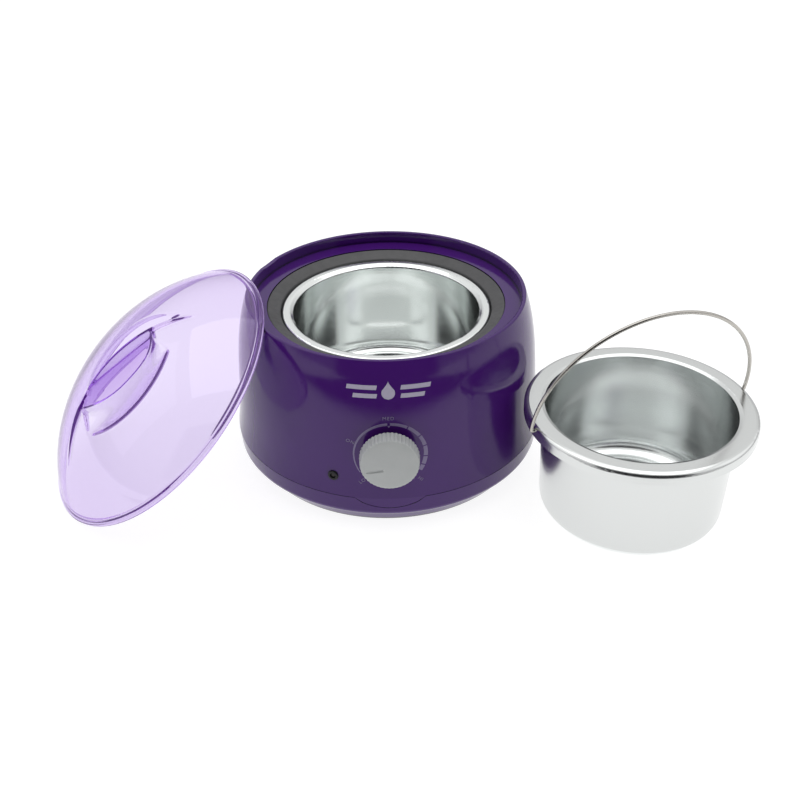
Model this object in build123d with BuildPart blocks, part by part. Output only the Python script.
"""Salon wax warmer: heated base with a lift-out wax pot and a clear domed lid.

The origin is on the axis of the base, at the level it stands on. The knob faces -Y.
The pot stands beside the base and the lid leans on its rim, as they do while wax is used.
"""
import os
from math import asin, atan2, cos, degrees, hypot, radians, sin

from build123d import *

os.makedirs("parts", exist_ok=True)

# ------------------------------------------------------------ driving dimensions, mm and degrees
# heating well, which sets the size of everything round it
well_radius = 51.9
well_wall = 1.2
well_floor_height = 29.5
well_floor = 1.5
flange_radius = well_radius + 6.4
flange_fall = 1.6
flange_skirt = 3.3
running_gap = 0.1
floor_ring_outer = well_radius - 9.9
floor_ring_middle = 31.0
floor_ring_centre = 22.0
floor_step_width = 1.0
floor_step_low = 0.2
floor_step_middle = 1.0
floor_step_high = 1.2

# heat-proof collar
collar_drop = 3.3
collar_inner_radius = flange_radius + 0.7
collar_base = 3.5

# base housing
shell_wall = 2.2
rim_hole_radius = collar_inner_radius + 7.3
lip_radius = rim_hole_radius + 9.0 + shell_wall
lip_height = 99.1
parting_height = 21.0
parting_radius = lip_radius + 10.5
side_pull_low = lip_radius + 6.3
side_pull_high = lip_radius + 9.4
lip_rounding = 0.9
rim_depth = 6.5
rim_fall = 0.6
ledge_depth = 6.0
ledge_width = 3.3
deck_thickness = 2.2
joint_gap = 0.3
flange_height = lip_height - 10.8
notch_angle = 152.5
notch_width = 19.0
notch_depth = 1.0

# front tongue of the housing, below the knob
tongue_half_width = 18.8
tongue_shoulder = 14.5
tongue_shoulder_drop = 3.0
tongue_drop = 6.2

# tray under the housing
foot_radius = parting_radius - 9.6
foot_inner_radius = foot_radius - 10.4
foot_edge_radius = parting_radius - 4.4
foot_edge_height = 8.0
tray_side_height = 13.0
tray_side_inset = 0.6
tray_floor_height = 2.5
tray_floor = 2.2
tray_lip_height = 3.5
foot_pad_radius = 3.9
foot_pad_ring = foot_radius - 5.4
foot_pad_depth = 1.8

# heater round the well
heater_thickness = 1.4
heater_bottom = 36.0
heater_height = 30.0
clamp_thickness = 0.6
clamp_height = 8.0
sleeve_thickness = 3.2
sleeve_slot_angle = 26.0
heater_gap_angle = 8.0

# carrier under the well
carrier_thickness = 1.6
carrier_hub = 30.0
carrier_arm_width = 14.0
carrier_post_ring = well_radius + 14.1
carrier_post_radius = 5.0
carrier_angles = (30, 150, 270)

# screws and bosses
screw_radius = 1.5
screw_head_radius = 2.9
screw_head_height = 2.0
boss_radius = 4.5
boss_ring = parting_radius - 15.0
boss_angles = (45, 135, 225, 315)
boss_seam_height = 24.0
boss_top_height = 42.0
boss_web_thickness = 3.0
head_seat_height = 12.0
fit_gap = 0.02

# control knob and thermostat
knob_height = 49.0
knob_radius = 15.5
knob_depth = 7.5
knob_standoff = 3.7
knob_shell = 2.0
knob_flutes = 45
flute_radius = 0.45
hub_radius = 5.5
pointer_length = 8.5
pointer_width = 1.5
pointer_angle = 190.0
boss_pad_radius = 9.0
boss_pad_proud = 0.6
bush_radius = 4.5
shaft_radius = 3.0
shaft_gap = 0.05
shaft_flat = 0.8
nut_across_flats = 12.0
nut_height = 2.2
thermostat_width = 30.0
thermostat_height = 24.0
thermostat_depth = 16.0
thermostat_setback = 8.0

# indicator lamp
lamp_angle = 250.0
lamp_height = 32.4
bezel_radius = 2.8
bezel_barrel = 2.3
bezel_proud = 0.7
bezel_sink = 0.5
lens_radius = 1.5
lamp_length = 11.0

# mains inlet and terminals
inlet_width = 22.0
inlet_height = 13.0
inlet_depth = 18.0
inlet_centre_height = 38.0
inlet_flange_width = 34.0
inlet_flange_height = 17.0
inlet_flange_thickness = 1.6
inlet_screw_pitch = 28.0
inlet_pad_proud = 0.8
pin_pitch = 8.6
pin_radius = 1.2
socket_width = 17.0
socket_height = 8.4
socket_depth = 12.0
block_width = 34.0
block_depth = 16.0
block_height = 14.0
block_y = 45.0
wire_radius = 1.1

# wax pot and bail
pot_flange_radius = flange_radius + 1.7
pot_height = 64.4
pot_mouth_radius = well_radius - 2.4
pot_wall = 1.1
pot_foot_radius = well_radius - 3.2
pot_corner = 9.0
pot_dimple = 1.0
pot_dimple_radius = 23.0
pot_ring_radius = 37.0
pot_skirt_height = 6.4
pot_edge_rounding = 2.2
pot_azimuth = -27.8
pot_gap = 2.9
bail_radius = pot_flange_radius + 1.3
bail_height = 65.7
bail_wire = 1.0
bail_bend = 1.2
bail_azimuth = 16.0
bail_tilt = 12.8
pivot_height = pot_height - 3.4
pivot_reach = pot_flange_radius - 2.7
pivot_gap = 0.08

# lid
lid_rim_radius = lip_radius + 3.1
lid_rim_height = 3.0
lid_seat_depth = 1.5
lid_seat_gap = 0.5
lid_dome_radius = lip_radius + 0.9
lid_dome_height = 34.5
lid_wall = 2.0
dish_radius = 122.0
dish_floor = 21.8
fin_thickness = 2.8
fin_curve = 110.0
fin_offset = 2.0
lean_azimuth = 201.0
lean_side_step = 17.4
lean_reach = 69.5
lean_hook = 0.6
lean_gap = 0.2

# ------------------------------------------------------------ derived places
shell_rise = lip_height - parting_height
rim_floor_height = lip_height - rim_depth
rim_inner_height = rim_floor_height - rim_fall
ledge_height = rim_inner_height - ledge_depth
ledge_radius = rim_hole_radius - ledge_width
deck_height = rim_inner_height - deck_thickness
collar_seat_height = flange_height - flange_skirt
collar_radius = rim_hole_radius - running_gap
well_outer = well_radius + well_wall
well_bottom = well_floor_height - well_floor
heater_inner = well_outer + running_gap
heater_outer = heater_inner + heater_thickness
clamp_inner = heater_outer + running_gap
clamp_outer = clamp_inner + clamp_thickness
sleeve_inner = clamp_outer + 3 * running_gap
sleeve_outer = sleeve_inner + sleeve_thickness
heater_middle = heater_bottom + heater_height / 2
tray_top = parting_height - joint_gap
tray_inner_height = tray_floor_height + tray_floor
carrier_bottom = well_bottom - carrier_thickness
SIDE = Plane.XZ
BIG = 400.0


def shell_radius(z):
    """Outer radius of the housing at a height: a cubic curve from the parting line to the lip."""
    t = (z - parting_height) / shell_rise
    pulls = (parting_radius, side_pull_low, side_pull_high, lip_radius)
    weights = ((1 - t) ** 3, 3 * (1 - t) ** 2 * t, 3 * (1 - t) * t ** 2, t ** 3)
    return sum(w * r for w, r in zip(weights, pulls))


def on_ring(radius, angle, z=0.0):
    """Point on a circle round the base axis."""
    return (radius * cos(radians(angle)), radius * sin(radians(angle)), z)


def facing(angle, radius, z):
    """Plane whose normal points out from the base axis at an angle."""
    out = on_ring(1, angle)
    return Plane(origin=on_ring(radius, angle, z), x_dir=on_ring(1, angle + 90), z_dir=out)


def profile(points):
    """Closed outline of (radius, height) corners, drawn in the current sketch."""
    with BuildLine() as outline:
        Polyline(*points, close=True)
    make_face(outline.edges())


def corners(sketch, *places):
    """The sketch corners nearest to the given (radius, height) places."""
    return [sketch.vertices().sort_by_distance((r, z, 0))[0] for r, z in places]


def finish(part, label, colour):
    """Name a finished piece and write its file."""
    part.label = label
    part.color = Color(*colour)
    export_step(part, f"parts/{label}.step")


PURPLE = (0.24, 0.06, 0.42)
DARK = (0.12, 0.12, 0.13)
METAL = (0.78, 0.79, 0.80)
STEEL = (0.55, 0.55, 0.56)
GREY = (0.72, 0.73, 0.74)
COPPER = (0.72, 0.45, 0.30)
WHITE = (0.88, 0.87, 0.84)
CLEAR = (0.60, 0.42, 0.78)

# ------------------------------------------------------------ front tongue, shared by both halves
tray_side_radius = parting_radius - tray_side_inset
tongue_bottom = parting_height - tongue_drop
tongue_inner = parting_radius - shell_wall - joint_gap


def tongue_outline(grow):
    """Outline of the tongue seen from the front, grown all round by a gap."""
    shoulder = tongue_shoulder + grow
    shoulder_z = parting_height - tongue_shoulder_drop - grow
    with BuildLine() as outline:
        Line((-tongue_half_width - grow, parting_height), (-shoulder, shoulder_z))
        ThreePointArc((-shoulder, shoulder_z), (0, tongue_bottom - grow), (shoulder, shoulder_z))
        Line((shoulder, shoulder_z), (tongue_half_width + grow, parting_height))
        Line((tongue_half_width + grow, parting_height), (-tongue_half_width - grow, parting_height))
    make_face(outline.edges())


with BuildPart() as tongue:
    with BuildSketch(SIDE):
        profile([
            (tongue_inner, tongue_bottom - 1), (tray_side_radius, tongue_bottom - 1),
            (tray_side_radius + 0.1, tongue_bottom), (parting_radius, parting_height),
            (tongue_inner, parting_height)])
    revolve(axis=Axis.Z)
    with BuildSketch(SIDE):
        tongue_outline(0)
    extrude(amount=BIG, mode=Mode.INTERSECT)

with BuildPart() as tongue_slot:
    with BuildSketch(SIDE):
        profile([
            (tongue_inner - joint_gap, 0), (parting_radius + 5, 0),
            (parting_radius + 5, parting_height + 1), (tongue_inner - joint_gap, parting_height + 1)])
    revolve(axis=Axis.Z)
    with BuildSketch(SIDE):
        tongue_outline(joint_gap)
    extrude(amount=BIG, mode=Mode.INTERSECT)

# ------------------------------------------------------------ outer shell
knob_wall = shell_radius(knob_height)
pad_face = knob_wall + boss_pad_proud
thermostat_face = knob_wall - shell_wall - thermostat_setback + 2.5
knob_axis_plane = Plane(origin=(0, 0, knob_height), x_dir=(1, 0, 0), z_dir=(0, -1, 0))
lamp_wall = shell_radius(lamp_height)
bezel_seat = lamp_wall - bezel_sink
inlet_wall = shell_radius(inlet_centre_height)
inlet_face = inlet_wall + inlet_pad_proud
inlet_plane = Plane(origin=(0, 0, inlet_centre_height), x_dir=(-1, 0, 0), z_dir=(0, 1, 0))
boss_pilot = screw_radius + fit_gap
boss_web_height = tray_top + tray_lip_height + joint_gap

with BuildPart() as outer_shell:
    # outer solid
    with BuildSketch(SIDE):
        with BuildLine():
            Bezier((parting_radius, parting_height),
                   (side_pull_low, parting_height + shell_rise / 3),
                   (side_pull_high, parting_height + 2 * shell_rise / 3),
                   (lip_radius, lip_height))
            Polyline((lip_radius, lip_height), (0, lip_height), (0, parting_height),
                     (parting_radius, parting_height))
        make_face()
    revolve(axis=Axis.Z)
    # hollow under the deck
    with BuildSketch(SIDE):
        with BuildLine():
            Bezier((parting_radius - shell_wall, parting_height),
                   (side_pull_low - shell_wall, parting_height + shell_rise / 3),
                   (side_pull_high - shell_wall, parting_height + 2 * shell_rise / 3),
                   (lip_radius - shell_wall, lip_height))
            Polyline((lip_radius - shell_wall, lip_height), (0, lip_height), (0, parting_height),
                     (parting_radius - shell_wall, parting_height))
        make_face()
        with Locations((0, deck_height)):
            Rectangle(BIG, BIG, align=(Align.MIN, Align.MIN), mode=Mode.SUBTRACT)
        with Locations((0, ledge_height - deck_thickness)):
            Rectangle(rim_hole_radius + deck_thickness, BIG, align=(Align.MIN, Align.MIN),
                      mode=Mode.SUBTRACT)
    revolve(axis=Axis.Z, mode=Mode.SUBTRACT)
    # well of the rim, the hole for the collar and the ledge that carries it
    with BuildSketch(SIDE):
        profile([
            (0, lip_height + 1), (lip_radius - shell_wall, lip_height + 1),
            (lip_radius - shell_wall, rim_floor_height), (rim_hole_radius, rim_inner_height),
            (rim_hole_radius, ledge_height), (ledge_radius, ledge_height), (ledge_radius, 0),
            (0, 0)])
    revolve(axis=Axis.Z, mode=Mode.SUBTRACT)
    fillet(outer_shell.edges().filter_by(GeomType.CIRCLE).group_by(Axis.Z)[-1], lip_rounding)
    # shallow finger notch in the lip
    notch_radius = (notch_width ** 2 / 4 + notch_depth ** 2) / (2 * notch_depth)
    with BuildSketch(facing(notch_angle, lip_radius / 2, 0)):
        with Locations((0, lip_height - notch_depth + notch_radius)):
            Circle(notch_radius)
    extrude(amount=lip_radius, mode=Mode.SUBTRACT)
    # thermostat boss, screw bosses with their webs, and the pad behind the mains inlet
    with BuildSketch(knob_axis_plane.offset(thermostat_face)):
        Circle(boss_pad_radius)
    extrude(amount=pad_face - thermostat_face)
    for angle in boss_angles:
        with BuildSketch(Plane.XY.offset(boss_seam_height)):
            with Locations(on_ring(boss_ring, angle)[:2]):
                Circle(boss_radius)
        extrude(amount=boss_top_height - boss_seam_height)
        with BuildSketch(Plane.XY.offset(boss_web_height)):
            with Locations(Location(on_ring((boss_ring + tongue_inner) / 2, angle), angle)):
                Rectangle(tongue_inner - boss_ring, boss_web_thickness)
        extrude(amount=boss_top_height - boss_web_height)
    with BuildSketch(inlet_plane.offset(inlet_wall - shell_wall - 1)):
        RectangleRounded(inlet_flange_width + 1.2, inlet_flange_height + 1.2, 3)
    extrude(amount=inlet_face - inlet_wall + shell_wall + 1)
    add(tongue.part)
    # holes
    with BuildSketch(knob_axis_plane):
        Circle(bush_radius + running_gap)
    extrude(amount=BIG, mode=Mode.SUBTRACT)
    with BuildSketch(facing(lamp_angle, 0, lamp_height)):
        Circle(bezel_barrel + shaft_gap)
    extrude(amount=BIG, mode=Mode.SUBTRACT)
    with BuildSketch(facing(lamp_angle, bezel_seat, lamp_height)):
        Circle(bezel_radius + shaft_gap)
    extrude(amount=BIG, mode=Mode.SUBTRACT)
    with BuildSketch(inlet_plane):
        Rectangle(inlet_width + 2 * running_gap, inlet_height + 2 * running_gap)
        with GridLocations(inlet_screw_pitch, 1, 2, 1):
            Circle(boss_pilot)
    extrude(amount=BIG, mode=Mode.SUBTRACT)
    for angle in boss_angles:
        with BuildSketch(Plane.XY.offset(boss_seam_height)):
            with Locations(on_ring(boss_ring, angle)[:2]):
                Circle(boss_pilot)
        extrude(amount=boss_top_height - boss_seam_height - 3, mode=Mode.SUBTRACT)
finish(outer_shell.part, "outer_shell", PURPLE)

# ------------------------------------------------------------ base tray
lip_outer = tongue_inner - 2 * joint_gap
lip_inner = lip_outer - 1.8
with BuildPart() as base_tray:
    with BuildSketch(SIDE):
        with BuildLine():
            Polyline((0, tray_floor_height), (foot_inner_radius, tray_floor_height),
                     (foot_inner_radius, 0), (foot_radius, 0), (foot_edge_radius, foot_edge_height))
            middle = ((foot_edge_radius + tray_side_radius) / 2 + 0.8,
                      (foot_edge_height + tray_side_height) / 2 - 0.8)
            ThreePointArc((foot_edge_radius, foot_edge_height), middle,
                          (tray_side_radius, tray_side_height))
            Polyline((tray_side_radius, tray_side_height), (parting_radius, tray_top),
                     (lip_outer, tray_top), (lip_outer, tray_top + tray_lip_height),
                     (lip_inner, tray_top + tray_lip_height), (lip_inner, tray_side_height),
                     (foot_radius, tray_inner_height), (0, tray_inner_height),
                     (0, tray_floor_height))
        make_face()
    revolve(axis=Axis.Z)
    with BuildSketch(Plane.XY.offset(tray_inner_height - 1)):
        for angle in carrier_angles:
            with Locations(on_ring(carrier_post_ring, angle)[:2]):
                Circle(carrier_post_radius)
    extrude(amount=carrier_bottom - tray_inner_height + 1)
    with BuildSketch(Plane.XY.offset(1)):
        for angle in boss_angles:
            with Locations(on_ring(boss_ring, angle)[:2]):
                Circle(boss_radius)
    extrude(amount=boss_seam_height - 1)
    # screw holes, their counterbores and the pockets for the foot pads
    for angle in boss_angles:
        with Locations(Location(on_ring(boss_ring, angle), (180, 0, 0))):
            CounterBoreHole(screw_radius + 0.3, screw_head_radius + 0.3, head_seat_height,
                            depth=BIG)
    for angle in carrier_angles:
        with BuildSketch(Plane.XY.offset(carrier_bottom)):
            with Locations(on_ring(carrier_post_ring, angle)[:2]):
                Circle(boss_pilot)
        extrude(amount=-12, mode=Mode.SUBTRACT)
    with BuildSketch(Plane.XY):
        with PolarLocations(foot_pad_ring, 4):
            Circle(foot_pad_radius + shaft_gap)
    extrude(amount=foot_pad_depth, mode=Mode.SUBTRACT)
    # air slots in the floor, under the well
    with BuildSketch(Plane.XY.offset(tray_floor_height - 1)):
        with PolarLocations(26, 12):
            SlotOverall(16, 3)
    extrude(amount=tray_floor + 2, mode=Mode.SUBTRACT)
    add(tongue_slot.part, mode=Mode.SUBTRACT)
finish(base_tray.part, "base_tray", PURPLE)

with BuildPart() as foot_pads:
    with BuildSketch(Plane.XY):
        with PolarLocations(foot_pad_ring, 4):
            Circle(foot_pad_radius)
    extrude(amount=foot_pad_depth)
finish(foot_pads.part, "foot_pads", DARK)

with BuildPart() as tray_screws:
    for angle in boss_angles:
        with BuildSketch(Plane.XY.offset(head_seat_height - screw_head_height)):
            with Locations(on_ring(boss_ring, angle)[:2]):
                Circle(screw_head_radius)
        extrude(amount=screw_head_height)
        with BuildSketch(Plane.XY.offset(head_seat_height)):
            with Locations(on_ring(boss_ring, angle)[:2]):
                Circle(screw_radius)
        extrude(amount=boss_top_height - head_seat_height - 8)
finish(tray_screws.part, "tray_screws", STEEL)

# ------------------------------------------------------------ collar
collar_top = rim_inner_height - running_gap
collar_inner_top = rim_inner_height - collar_drop
with BuildPart() as collar_ring:
    with BuildSketch(SIDE) as section:
        profile([
            (collar_radius, collar_top), (collar_inner_radius, collar_inner_top),
            (collar_inner_radius - 0.3, collar_seat_height),
            (well_outer + 2 * running_gap, collar_seat_height),
            (well_outer + 2 * running_gap, collar_seat_height - collar_base),
            (ledge_radius - running_gap, collar_seat_height - collar_base),
            (ledge_radius - running_gap, ledge_height), (collar_radius, ledge_height)])
        fillet(corners(section, (collar_inner_radius, collar_inner_top)), 1.0)
        fillet(corners(section, (collar_radius, collar_top)), 0.6)
    revolve(axis=Axis.Z)
finish(collar_ring.part, "collar_ring", DARK)

# ------------------------------------------------------------ heating well
flange_inner_height = flange_height - flange_fall
with BuildPart() as heating_well:
    with BuildSketch(SIDE) as section:
        profile([
            (0, well_bottom), (well_outer, well_bottom),
            (well_outer, flange_inner_height - well_wall),
            (well_outer + 1.2, flange_height - well_wall),
            (flange_radius - well_wall, flange_height - well_wall),
            (flange_radius - well_wall, collar_seat_height), (flange_radius, collar_seat_height),
            (flange_radius, flange_height), (well_radius + 2.2, flange_height),
            (well_radius, flange_inner_height), (well_radius, well_floor_height),
            (floor_ring_outer, well_floor_height),
            (floor_ring_outer - floor_step_width, well_floor_height + floor_step_high),
            (floor_ring_middle, well_floor_height + floor_step_high),
            (floor_ring_middle - floor_step_width, well_floor_height + floor_step_low),
            (floor_ring_centre, well_floor_height + floor_step_low),
            (floor_ring_centre - floor_step_width, well_floor_height + floor_step_middle),
            (0, well_floor_height + floor_step_middle)])
        fillet(corners(section, (flange_radius, flange_height)), 1.4)
        fillet(corners(section, (well_radius + 2.2, flange_height)), 2.0)
        fillet(corners(section, (well_radius, flange_inner_height)), 1.0)
        fillet(corners(section, (well_radius, well_floor_height)), 4.0)
        fillet(corners(section, (well_outer, well_bottom)), 5.0)
    revolve(axis=Axis.Z)
finish(heating_well.part, "heating_well", METAL)


def open_band(inner, outer, gap_angle):
    """Ring in the current sketch with a gap centred on the back."""
    half = radians(gap_angle / 2)
    Circle(outer)
    Circle(inner, mode=Mode.SUBTRACT)
    with BuildLine() as gap:
        Polyline((0, 0), (-BIG * sin(half), BIG * cos(half)), (BIG * sin(half), BIG * cos(half)),
                 close=True)
    make_face(gap.edges(), mode=Mode.SUBTRACT)


lead_x = 8.0
lead_radius = clamp_outer + 1.2
lead_y = (lead_radius ** 2 - lead_x ** 2) ** 0.5
with BuildPart() as heater_band:
    with BuildSketch(Plane.XY.offset(heater_bottom)):
        open_band(heater_inner, heater_outer, heater_gap_angle)
    extrude(amount=heater_height)
    with BuildSketch(Plane.XY.offset(heater_bottom)):
        with Locations((-lead_x, lead_y - 0.9), (lead_x, lead_y - 0.9)):
            Rectangle(3.4, 4.2)
        Circle(heater_inner, mode=Mode.SUBTRACT)
    extrude(amount=4)
finish(heater_band.part, "heater_band", COPPER)

ear_x = clamp_inner * sin(radians(heater_gap_angle / 2))
with BuildPart() as band_clamp:
    with BuildSketch(Plane.XY.offset(heater_middle - clamp_height / 2)):
        open_band(clamp_inner, clamp_outer, heater_gap_angle)
        with Locations((-ear_x, clamp_outer + 3.2), (ear_x, clamp_outer + 3.2)):
            Rectangle(1.0, 7.0)
    extrude(amount=clamp_height)
    with BuildSketch(Plane.YZ.offset(-BIG / 2)):
        with Locations((clamp_outer + 4, heater_middle)):
            Circle(screw_radius + fit_gap)
    extrude(amount=BIG, mode=Mode.SUBTRACT)
finish(band_clamp.part, "band_clamp", STEEL)

with BuildPart() as clamp_bolt:
    bolt_plane = Plane(origin=(0, clamp_outer + 4, heater_middle), x_dir=(0, 1, 0), z_dir=(1, 0, 0))
    with BuildSketch(bolt_plane.offset(-ear_x - 2.5)):
        Circle(screw_radius)
    extrude(amount=2 * ear_x + 5)
    with BuildSketch(bolt_plane.offset(ear_x + 0.5)):
        RegularPolygon(2.75, 6, major_radius=False)
    extrude(amount=2)
    with BuildSketch(bolt_plane.offset(-ear_x - 0.5)):
        Circle(2.75)
    extrude(amount=-2)
finish(clamp_bolt.part, "clamp_bolt", STEEL)

with BuildPart() as insulation_sleeve:
    with BuildSketch(Plane.XY.offset(heater_bottom - 4)):
        open_band(sleeve_inner, sleeve_outer, sleeve_slot_angle)
    extrude(amount=heater_height + 8)
finish(insulation_sleeve.part, "insulation_sleeve", WHITE)

# ------------------------------------------------------------ carrier that holds the well up
with BuildPart() as well_carrier:
    with BuildSketch(Plane.XY.offset(carrier_bottom)):
        Circle(carrier_hub)
        for angle in carrier_angles:
            with Locations(Location(on_ring(carrier_post_ring / 2, angle), angle)):
                SlotCenterToCenter(carrier_post_ring, carrier_arm_width)
        for angle in carrier_angles:
            with Locations(on_ring(carrier_post_ring, angle)[:2]):
                Circle(screw_radius + 0.2, mode=Mode.SUBTRACT)
    extrude(amount=carrier_thickness)
finish(well_carrier.part, "well_carrier", STEEL)

with BuildPart() as carrier_screws:
    for angle in carrier_angles:
        with BuildSketch(Plane.XY.offset(well_bottom)):
            with Locations(on_ring(carrier_post_ring, angle)[:2]):
                Circle(screw_head_radius)
        extrude(amount=screw_head_height)
        with BuildSketch(Plane.XY.offset(well_bottom)):
            with Locations(on_ring(carrier_post_ring, angle)[:2]):
                Circle(screw_radius)
        extrude(amount=-10)
finish(carrier_screws.part, "carrier_screws", STEEL)

# ------------------------------------------------------------ thermostat, its nut and the knob
bush_end = pad_face + nut_height + 0.5
with BuildPart() as thermostat_body:
    with BuildSketch(knob_axis_plane.offset(thermostat_face - thermostat_depth)):
        RectangleRounded(thermostat_width, thermostat_height, 2)
    extrude(amount=thermostat_depth)
    with BuildSketch(knob_axis_plane.offset(thermostat_face)):
        Circle(bush_radius)
    extrude(amount=bush_end - thermostat_face)
    with BuildSketch(knob_axis_plane.offset(thermostat_face - 6)):
        Circle(shaft_radius + shaft_gap)
    extrude(amount=BIG, mode=Mode.SUBTRACT)
    tab_top = knob_height - thermostat_height / 2
    with BuildSketch(Plane.XY.offset(tab_top)):
        with Locations((-11, -thermostat_face + thermostat_depth / 2),
                       (11, -thermostat_face + thermostat_depth / 2)):
            Rectangle(5, 0.8)
    extrude(amount=-5)
finish(thermostat_body.part, "thermostat_body", WHITE)

with BuildPart() as thermostat_nut:
    with BuildSketch(knob_axis_plane.offset(pad_face)):
        RegularPolygon(nut_across_flats / 2, 6, major_radius=False)
        Circle(bush_radius + fit_gap, mode=Mode.SUBTRACT)
    extrude(amount=nut_height)
finish(thermostat_nut.part, "thermostat_nut", STEEL)

knob_back = knob_wall + knob_standoff
knob_front = knob_back + knob_depth
shaft_end = knob_front - knob_shell - 0.6
with BuildPart() as thermostat_shaft:
    with BuildSketch(knob_axis_plane.offset(thermostat_face - 5.7)):
        Circle(shaft_radius)
    extrude(amount=shaft_end - thermostat_face + 5.7)
    with BuildSketch(knob_axis_plane.offset(bush_end + 0.4)):
        with Locations((0, shaft_radius)):
            Rectangle(BIG, 2 * shaft_flat)
    extrude(amount=BIG, mode=Mode.SUBTRACT)
finish(thermostat_shaft.part, "thermostat_shaft", STEEL)

with BuildPart() as knob:
    with BuildSketch(knob_axis_plane.offset(knob_back)):
        Circle(knob_radius)
    extrude(amount=knob_depth)
    fillet(knob.edges().group_by(Axis.Y)[0], 0.8)
    with BuildSketch(knob_axis_plane.offset(knob_back)):
        with PolarLocations(knob_radius + flute_radius * 0.6, knob_flutes):
            Circle(flute_radius)
    extrude(amount=knob_depth - 1.2, mode=Mode.SUBTRACT)
    with BuildSketch(knob_axis_plane.offset(knob_back)):
        Circle(knob_radius - knob_shell)
        Circle(hub_radius, mode=Mode.SUBTRACT)
    extrude(amount=knob_depth - knob_shell, mode=Mode.SUBTRACT)
    # bore for the shaft, with its flat
    with BuildSketch(knob_axis_plane.offset(knob_back)):
        Circle(shaft_radius + fit_gap)
        with Locations((0, shaft_radius + fit_gap)):
            Rectangle(BIG, 2 * shaft_flat, mode=Mode.SUBTRACT)
    extrude(amount=shaft_end + 0.1 - knob_back, mode=Mode.SUBTRACT)
    # the nut and the end of the bush turn freely in the back of the hub
    with BuildSketch(knob_axis_plane.offset(knob_back)):
        Circle(shaft_radius + 2 * fit_gap)
    extrude(amount=bush_end + 0.7 - knob_back, mode=Mode.SUBTRACT)
    # pointer groove
    pointer = Location(
        ((knob_radius - 4.5 - pointer_length / 2) * cos(radians(pointer_angle)),
         (knob_radius - 4.5 - pointer_length / 2) * sin(radians(pointer_angle))), pointer_angle)
    with BuildSketch(knob_axis_plane.offset(knob_front)):
        with Locations(pointer):
            SlotOverall(pointer_length, pointer_width)
    extrude(amount=-0.5, mode=Mode.SUBTRACT)
finish(knob.part, "knob", GREY)

# ------------------------------------------------------------ indicator lamp
with BuildPart() as indicator_bezel:
    with BuildSketch(facing(lamp_angle, bezel_seat, lamp_height)):
        Circle(bezel_radius)
    extrude(amount=bezel_sink + bezel_proud)
    fillet(indicator_bezel.edges().filter_by(GeomType.CIRCLE).sort_by_distance((0, 0, 0))[-1], 0.4)
    with BuildSketch(facing(lamp_angle, bezel_seat, lamp_height)):
        Circle(bezel_barrel)
    extrude(amount=-8)
    with BuildSketch(facing(lamp_angle, 0, lamp_height)):
        Circle(lens_radius + shaft_gap)
    extrude(amount=BIG, mode=Mode.SUBTRACT)
finish(indicator_bezel.part, "indicator_bezel", DARK)

lens_front = bezel_seat + bezel_sink
with BuildPart() as indicator_lens:
    with BuildSketch(facing(lamp_angle, lens_front, lamp_height)):
        Circle(lens_radius)
    extrude(amount=-3)
    fillet(indicator_lens.edges().filter_by(GeomType.CIRCLE).sort_by_distance((0, 0, 0))[-1], 0.6)
finish(indicator_lens.part, "indicator_lens", (0.35, 0.05, 0.05))

with BuildPart() as neon_lamp:
    with BuildSketch(facing(lamp_angle, lens_front - 3, lamp_height)):
        Circle(lens_radius - 0.1)
    extrude(amount=-lamp_length)
finish(neon_lamp.part, "neon_lamp", (0.9, 0.6, 0.4))

# ------------------------------------------------------------ mains inlet
with BuildPart() as mains_inlet:
    with BuildSketch(inlet_plane.offset(inlet_face)):
        RectangleRounded(inlet_flange_width, inlet_flange_height, 3)
    extrude(amount=inlet_flange_thickness)
    with BuildSketch(inlet_plane.offset(inlet_face)):
        Rectangle(inlet_width, inlet_height)
    extrude(amount=-inlet_depth)
    with BuildSketch(inlet_plane.offset(inlet_face + inlet_flange_thickness)):
        SlotOverall(socket_width, socket_height)
    extrude(amount=-socket_depth, mode=Mode.SUBTRACT)
    with BuildSketch(inlet_plane.offset(inlet_face - inlet_depth - 1)):
        with GridLocations(inlet_screw_pitch, 1, 2, 1):
            Circle(screw_radius + 0.2)
    extrude(amount=BIG, mode=Mode.SUBTRACT)
    with BuildSketch(inlet_plane.offset(inlet_face - inlet_depth - 1)):
        with GridLocations(pin_pitch, 1, 2, 1):
            Circle(pin_radius + fit_gap)
    extrude(amount=BIG, mode=Mode.SUBTRACT)
finish(mains_inlet.part, "mains_inlet", DARK)

inlet_back = inlet_face - inlet_depth
with BuildPart() as inlet_pins:
    with BuildSketch(inlet_plane.offset(inlet_back - 3)):
        with GridLocations(pin_pitch, 1, 2, 1):
            Circle(pin_radius)
    extrude(amount=inlet_depth + 1)
finish(inlet_pins.part, "inlet_pins", METAL)

with BuildPart() as inlet_screws:
    with BuildSketch(inlet_plane.offset(inlet_face + inlet_flange_thickness)):
        with GridLocations(inlet_screw_pitch, 1, 2, 1):
            Circle(screw_head_radius - 0.4)
    extrude(amount=1.0)
    with BuildSketch(inlet_plane.offset(inlet_face + inlet_flange_thickness)):
        with GridLocations(inlet_screw_pitch, 1, 2, 1):
            Circle(screw_radius)
    extrude(amount=-6)
finish(inlet_screws.part, "inlet_screws", STEEL)

# ------------------------------------------------------------ terminal block, fuse and wiring
block_top = tray_inner_height + block_height
with BuildPart() as terminal_block:
    with BuildSketch(Plane.XY.offset(tray_inner_height)):
        with Locations((0, block_y)):
            RectangleRounded(block_width, block_depth, 1.5)
    extrude(amount=block_height)
    with BuildSketch(Plane.XY.offset(block_top)):
        with Locations((0, block_y - 3)):
            with GridLocations(10, 1, 3, 1):
                Circle(2.2)
    extrude(amount=-4, mode=Mode.SUBTRACT)
finish(terminal_block.part, "terminal_block", WHITE)

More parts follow.
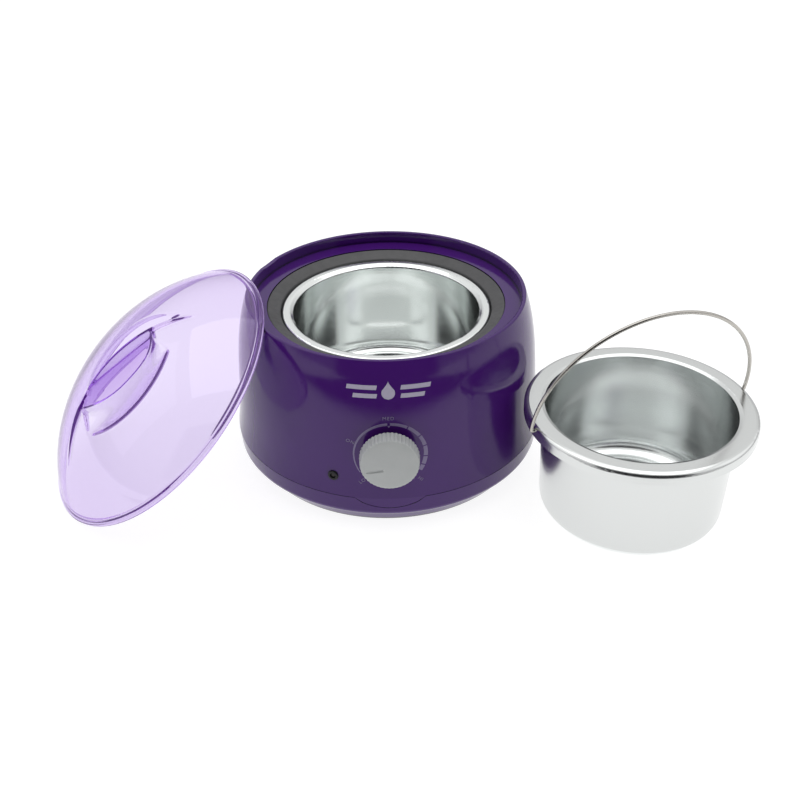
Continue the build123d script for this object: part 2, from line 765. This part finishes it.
with BuildPart() as terminal_screws:
    with BuildSketch(Plane.XY.offset(block_top - 4)):
        with Locations((0, block_y - 3)):
            with GridLocations(10, 1, 3, 1):
                Circle(2.1)
    extrude(amount=2.5)
finish(terminal_screws.part, "terminal_screws", METAL)

fuse_radius = 1.9
fuse_angle = 99.5
fuse_ring = heater_outer + fuse_radius + shaft_gap
fuse_bottom = heater_middle + clamp_height / 2 + 1.5
with BuildPart() as thermal_fuse:
    with BuildSketch(Plane.XY.offset(fuse_bottom)):
        with Locations(on_ring(fuse_ring, fuse_angle)[:2]):
            Circle(fuse_radius)
    extrude(amount=9)
finish(thermal_fuse.part, "thermal_fuse", METAL)

with BuildPart() as fuse_clip:
    with BuildSketch(Plane.XY.offset(fuse_bottom + 2)):
        with Locations(on_ring(fuse_ring, fuse_angle)[:2]):
            Circle(fuse_radius + 0.6)
            Circle(fuse_radius + shaft_gap, mode=Mode.SUBTRACT)
        Circle(heater_outer + shaft_gap, mode=Mode.SUBTRACT)
    extrude(amount=5)
finish(fuse_clip.part, "fuse_clip", STEEL)


def wire(points, radii):
    """Round wire along straight runs joined by arcs."""
    with BuildPart() as run:
        with BuildLine() as route:
            FilletPolyline(*points, radius=radii)
        with BuildSketch(Plane(origin=route.line @ 0, z_dir=route.line % 0)):
            Circle(wire_radius)
        sweep(path=route.line)
    return run.part


pin_back_y = inlet_back - 3
block_back = block_y + block_depth / 2
thermostat_y = -thermostat_face + thermostat_depth / 2
tab_bottom = tab_top - 5
wire_level = tray_inner_height + 7
runs = []
for side in (-1, 1):
    runs.append(wire([
        (side * pin_pitch / 2, pin_back_y, inlet_centre_height),
        (side * pin_pitch / 2, pin_back_y - 5, inlet_centre_height),
        (side * pin_pitch / 2, pin_back_y - 5, wire_level),
        (side * pin_pitch / 2, block_back, wire_level)], [3, 3]))
    runs.append(wire([
        (side * lead_x, lead_y + 0.4, heater_bottom),
        (side * lead_x, lead_y + 0.4, heater_bottom - 8),
        (side * (lead_x + 3), block_y + 4, block_top + 5),
        (side * (lead_x + 3), block_y + 4, block_top)], [4, 3]))
    runs.append(wire([
        (side * block_width / 2, block_y - 2, wire_level),
        (side * (block_width / 2 + 10), block_y - 2, wire_level),
        (side * 44, block_y - 25, wire_level),
        (side * 44, block_y - 60, wire_level),
        (side * 11, thermostat_y, wire_level),
        (side * 11, thermostat_y, tab_bottom)], [6, 12, 14, 4]))
internal_wires = Compound(label="internal_wires", children=runs)
finish(internal_wires, "internal_wires", (0.75, 0.2, 0.15))

# ------------------------------------------------------------ wax pot, standing beside the base
pot_rim_radius = shell_radius(pot_height - pot_skirt_height)
pot_distance = pot_rim_radius + pot_gap + pot_flange_radius
pot_x, pot_y, _ = on_ring(pot_distance, pot_azimuth)
pot_side = Plane(origin=(pot_x, pot_y, 0), x_dir=on_ring(1, bail_azimuth),
                 z_dir=on_ring(1, bail_azimuth - 90))
pot_axis = Axis((pot_x, pot_y, 0), (0, 0, 1))
with BuildPart() as inner_pot:
    with BuildSketch(pot_side) as section:
        outer_mouth = pot_mouth_radius + pot_wall
        skirt_bottom = pot_height - pot_skirt_height
        profile([
            (0, pot_dimple), (pot_dimple_radius - 1, pot_dimple), (pot_dimple_radius, 0),
            (pot_foot_radius, 0),
            (outer_mouth, pot_height - pot_wall - 0.6),
            (pot_flange_radius - pot_wall, pot_height - pot_wall - 0.6),
            (pot_flange_radius - pot_wall, skirt_bottom), (pot_flange_radius, skirt_bottom),
            (pot_flange_radius, pot_height - 0.6), (pot_flange_radius - 2.6, pot_height),
            (pot_mouth_radius + 1.8, pot_height), (pot_mouth_radius, pot_height - 0.8),
            (pot_foot_radius - pot_wall, pot_wall), (pot_ring_radius, pot_wall),
            (pot_ring_radius - 1, pot_wall + 0.9), (pot_dimple_radius + 1, pot_wall + 0.9),
            (pot_dimple_radius, pot_wall + 1.9), (0, pot_wall + 1.9)])
        fillet(corners(section, (pot_foot_radius, 0)), pot_corner)
        fillet(corners(section, (pot_foot_radius - pot_wall, pot_wall)), pot_corner - pot_wall)
        fillet(corners(section, (pot_flange_radius, pot_height - 0.6)), pot_edge_rounding)
        fillet(corners(section, (pot_mouth_radius + 1.8, pot_height)), 1.2)
    revolve(axis=pot_axis)
    # holes for the ends of the bail
    with BuildSketch(Plane(origin=(pot_x, pot_y, pivot_height), x_dir=(0, 0, 1),
                           z_dir=on_ring(1, bail_azimuth)).offset(-pot_flange_radius - 2)):
        Circle(bail_wire + pivot_gap)
    extrude(amount=6, mode=Mode.SUBTRACT)
    with BuildSketch(Plane(origin=(pot_x, pot_y, pivot_height), x_dir=(0, 0, 1),
                           z_dir=on_ring(1, bail_azimuth)).offset(pot_flange_radius + 2)):
        Circle(bail_wire + pivot_gap)
    extrude(amount=-6, mode=Mode.SUBTRACT)
finish(inner_pot.part, "inner_pot", METAL)

# the bail lies in a plane through its two pivots, tipped forward from upright
pivot_dir = Vector(*on_ring(1, bail_azimuth))
forward = Vector(*on_ring(1, bail_azimuth - 90))
bail_up = Vector(0, 0, 1) * cos(radians(bail_tilt)) + forward * sin(radians(bail_tilt))
bail_plane = Plane(origin=(pot_x, pot_y, pivot_height), x_dir=pivot_dir,
                   z_dir=pivot_dir.cross(bail_up))
straight_end = bail_radius - bail_bend
corner_mid = (straight_end + bail_bend * cos(radians(45)), bail_bend * (1 - cos(radians(45))))
with BuildPart() as bail_handle:
    with BuildLine(bail_plane) as route:
        Line((pivot_reach, 0), (straight_end, 0))
        ThreePointArc((straight_end, 0), corner_mid, (bail_radius, bail_bend))
        EllipticalCenterArc((0, bail_bend), bail_radius, bail_height - bail_bend, start_angle=0,
                            arc_size=180)
        ThreePointArc((-bail_radius, bail_bend), (-corner_mid[0], corner_mid[1]),
                      (-straight_end, 0))
        Line((-straight_end, 0), (-pivot_reach, 0))
    bail_path = Wire(route.edges())
    with BuildSketch(Plane(origin=bail_path @ 0, z_dir=bail_path % 0)):
        Circle(bail_wire)
    sweep(path=bail_path)
finish(bail_handle.part, "bail_handle", STEEL)

# ------------------------------------------------------------ lid, leaning on the lip of the base
# The lid's low edge stands on the table and its seat hooks over the rounded lip. lean_reach is the
# way up the lid from its centre to the lip, and lean_hook how far the lip goes in past its edge.
lip_cut_back = lip_rounding * (1 - cos(radians(45)))
touch_height = lip_height - lip_cut_back + lean_gap
slope_run = lean_reach + lid_rim_radius
tilt = asin(touch_height / hypot(slope_run, lean_hook)) - atan2(lean_hook, slope_run)
lean_out = Vector(*on_ring(1, lean_azimuth))
lid_normal = lean_out * sin(tilt) + Vector(0, 0, 1) * cos(tilt)
lid_x = Vector(*on_ring(1, lean_azimuth + 90))
lid_y = lid_normal.cross(lid_x)
touch = lean_out * (lip_radius - lip_cut_back) + Vector(0, 0, touch_height)
lid_centre = touch - lid_x * lean_side_step - lid_y * lean_reach - lid_normal * lean_hook
lid_plane = Plane(origin=lid_centre, x_dir=lid_x, z_dir=lid_normal)
lid_side = Plane(origin=lid_centre, x_dir=lid_x, z_dir=lid_x.cross(lid_normal))
lid_axis = Axis(lid_centre, lid_normal)
seat_radius = lip_radius + lid_seat_gap
lid_bore = lid_dome_radius - lid_wall
dish_centre = dish_floor + dish_radius


def dome_curve(radius, foot, height, drop):
    """Half section of the dome, from its foot to its crown."""
    Bezier((radius, foot), (radius * 0.842, foot + (height - foot) * 0.46 - drop * 0.6),
           (radius * 0.51, height), (0, height))


with BuildPart() as lid_hollow:
    with BuildSketch(lid_side):
        with BuildLine():
            dome_curve(lid_bore, lid_rim_height - 0.6, lid_dome_height - lid_wall, 0.6)
            Polyline((0, lid_dome_height - lid_wall), (0, -1), (lid_bore, -1),
                     (lid_bore, lid_rim_height - 0.6))
        make_face()
    revolve(axis=lid_axis)
    with Locations(lid_plane.offset(dish_centre)):
        Sphere(dish_radius + lid_wall, mode=Mode.SUBTRACT)

with BuildPart() as dish:
    with Locations(lid_plane.offset(dish_centre)):
        Sphere(dish_radius)
    with BuildSketch(lid_plane):
        with Locations((fin_offset + fin_curve, 0)):
            Circle(fin_curve + fin_thickness / 2)
            Circle(fin_curve - fin_thickness / 2, mode=Mode.SUBTRACT)
    extrude(amount=BIG, mode=Mode.SUBTRACT)

with BuildPart() as lid:
    with BuildSketch(lid_side) as section:
        with BuildLine():
            dome_curve(lid_dome_radius, lid_rim_height, lid_dome_height, 0)
            Polyline((0, lid_dome_height), (0, 0), (lid_rim_radius, 0),
                     (lid_rim_radius, lid_rim_height), (lid_dome_radius, lid_rim_height))
        make_face()
        fillet(corners(section, (lid_rim_radius, 0), (lid_rim_radius, lid_rim_height)), 0.8)
    revolve(axis=lid_axis)
    with BuildSketch(lid_plane):
        Circle(seat_radius)
    extrude(amount=lid_seat_depth, mode=Mode.SUBTRACT)
    add(dish.part, mode=Mode.SUBTRACT)
    add(lid_hollow.part, mode=Mode.SUBTRACT)
finish(lid.part, "lid", CLEAR)

print("lid lean", round(degrees(tilt), 2), "centre", [round(v, 2) for v in lid_centre],
      "pot", round(pot_x, 2), round(pot_y, 2))
